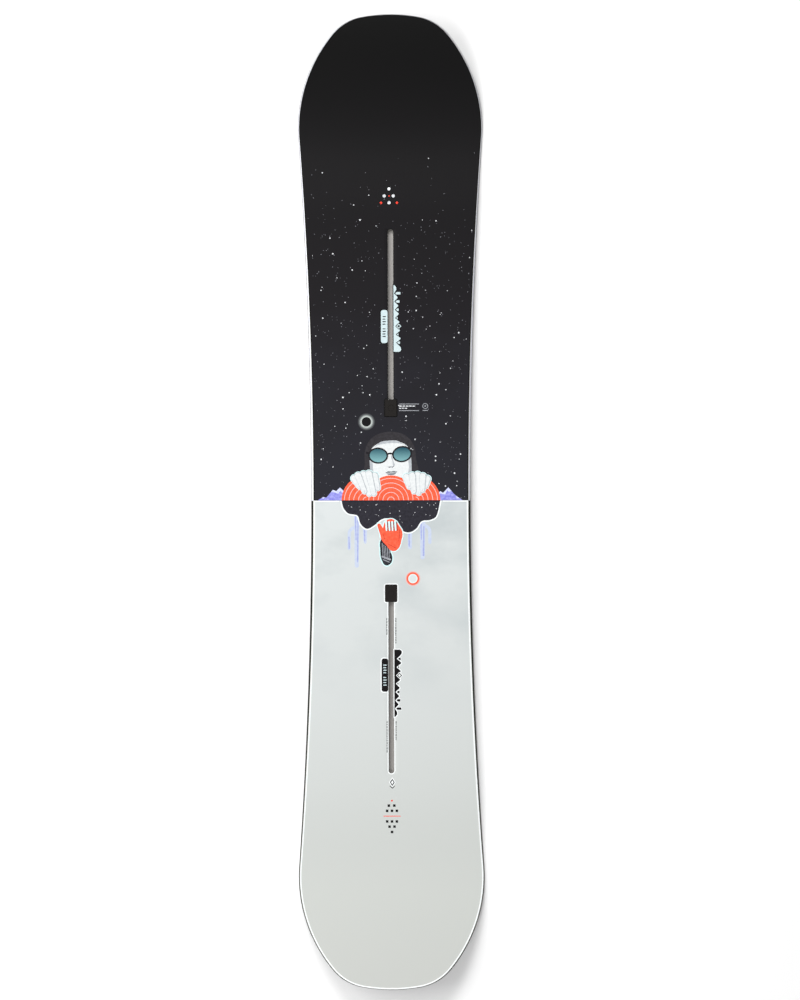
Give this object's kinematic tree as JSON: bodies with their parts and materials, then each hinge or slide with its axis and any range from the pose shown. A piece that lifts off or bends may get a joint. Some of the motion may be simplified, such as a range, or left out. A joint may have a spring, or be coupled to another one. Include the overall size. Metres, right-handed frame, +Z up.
{
  "type": "snowboard",
  "caption": "Twin-tip snowboard with steel edges, bevelled sidewalls, wood core, two slotted binding tracks with lift-out rubber plugs.",
  "frame": {"origin": "under the middle of the board, on the surface that it rests on", "axes": "+Y along the board towards the nose, +X towards the toe edge, +Z up out of the topsheet"},
  "size_m": [0.2848, 1.49, 0.0467],
  "materials": {
    "base_plastic": "sintered polyethylene base, stone ground and waxed",
    "edge_steel": "ground steel edge",
    "foil_rubber": "thin damping rubber foil",
    "glass_laminate": "glass fibre laminate, resin rich",
    "core_poplar": "planed poplar strip",
    "core_beech": "planed beech strip",
    "sidewall_light": "milled plastic sidewall, pale lavender",
    "sidewall_dark": "milled plastic sidewall, near black",
    "topsheet_print": "printed topsheet, satin",
    "track_metal": "extruded aluminium, mill finish",
    "plug_rubber": "moulded rubber, matt"
  },
  "bodies": {
    "deck": {"base_sheet": "base_plastic", "bottom_laminate": "glass_laminate", "heel_core_strip_1": "core_beech", "heel_core_strip_2": "core_poplar", "heel_core_strip_3": "core_poplar", "heel_core_strip_4": "core_beech", "heel_edge": "edge_steel", "heel_edge_foil": "foil_rubber", "middle_core_block": "core_poplar", "nose_core_block": "core_beech", "nose_heel_sidewall": "sidewall_light", "nose_spacer": "sidewall_light", "nose_toe_sidewall": "sidewall_light", "nose_track": "track_metal", "nose_track_mat": "glass_laminate", "tail_core_block": "core_beech", "tail_heel_sidewall": "sidewall_dark", "tail_spacer": "sidewall_dark", "tail_toe_sidewall": "sidewall_dark", "tail_track": "track_metal", "tail_track_mat": "glass_laminate", "toe_core_strip_1": "core_beech", "toe_core_strip_2": "core_poplar", "toe_core_strip_3": "core_poplar", "toe_core_strip_4": "core_beech", "toe_edge": "edge_steel", "toe_edge_foil": "foil_rubber", "top_laminate": "glass_laminate", "topsheet": "topsheet_print"},
    "nose_plug": {"nose_plug": "plug_rubber"},
    "tail_plug": {"tail_plug": "plug_rubber"}
  },
  "joints": [
    {"name": "nose_plug_lift", "type": "slide", "parent": "deck", "child": "nose_plug", "axis": [0, 0.0122, 0.9999], "range_m": [0, 0.012]},
    {"name": "tail_plug_lift", "type": "slide", "parent": "deck", "child": "tail_plug", "axis": [0, -0.0122, 0.9999], "range_m": [0, 0.012]}
  ]
}
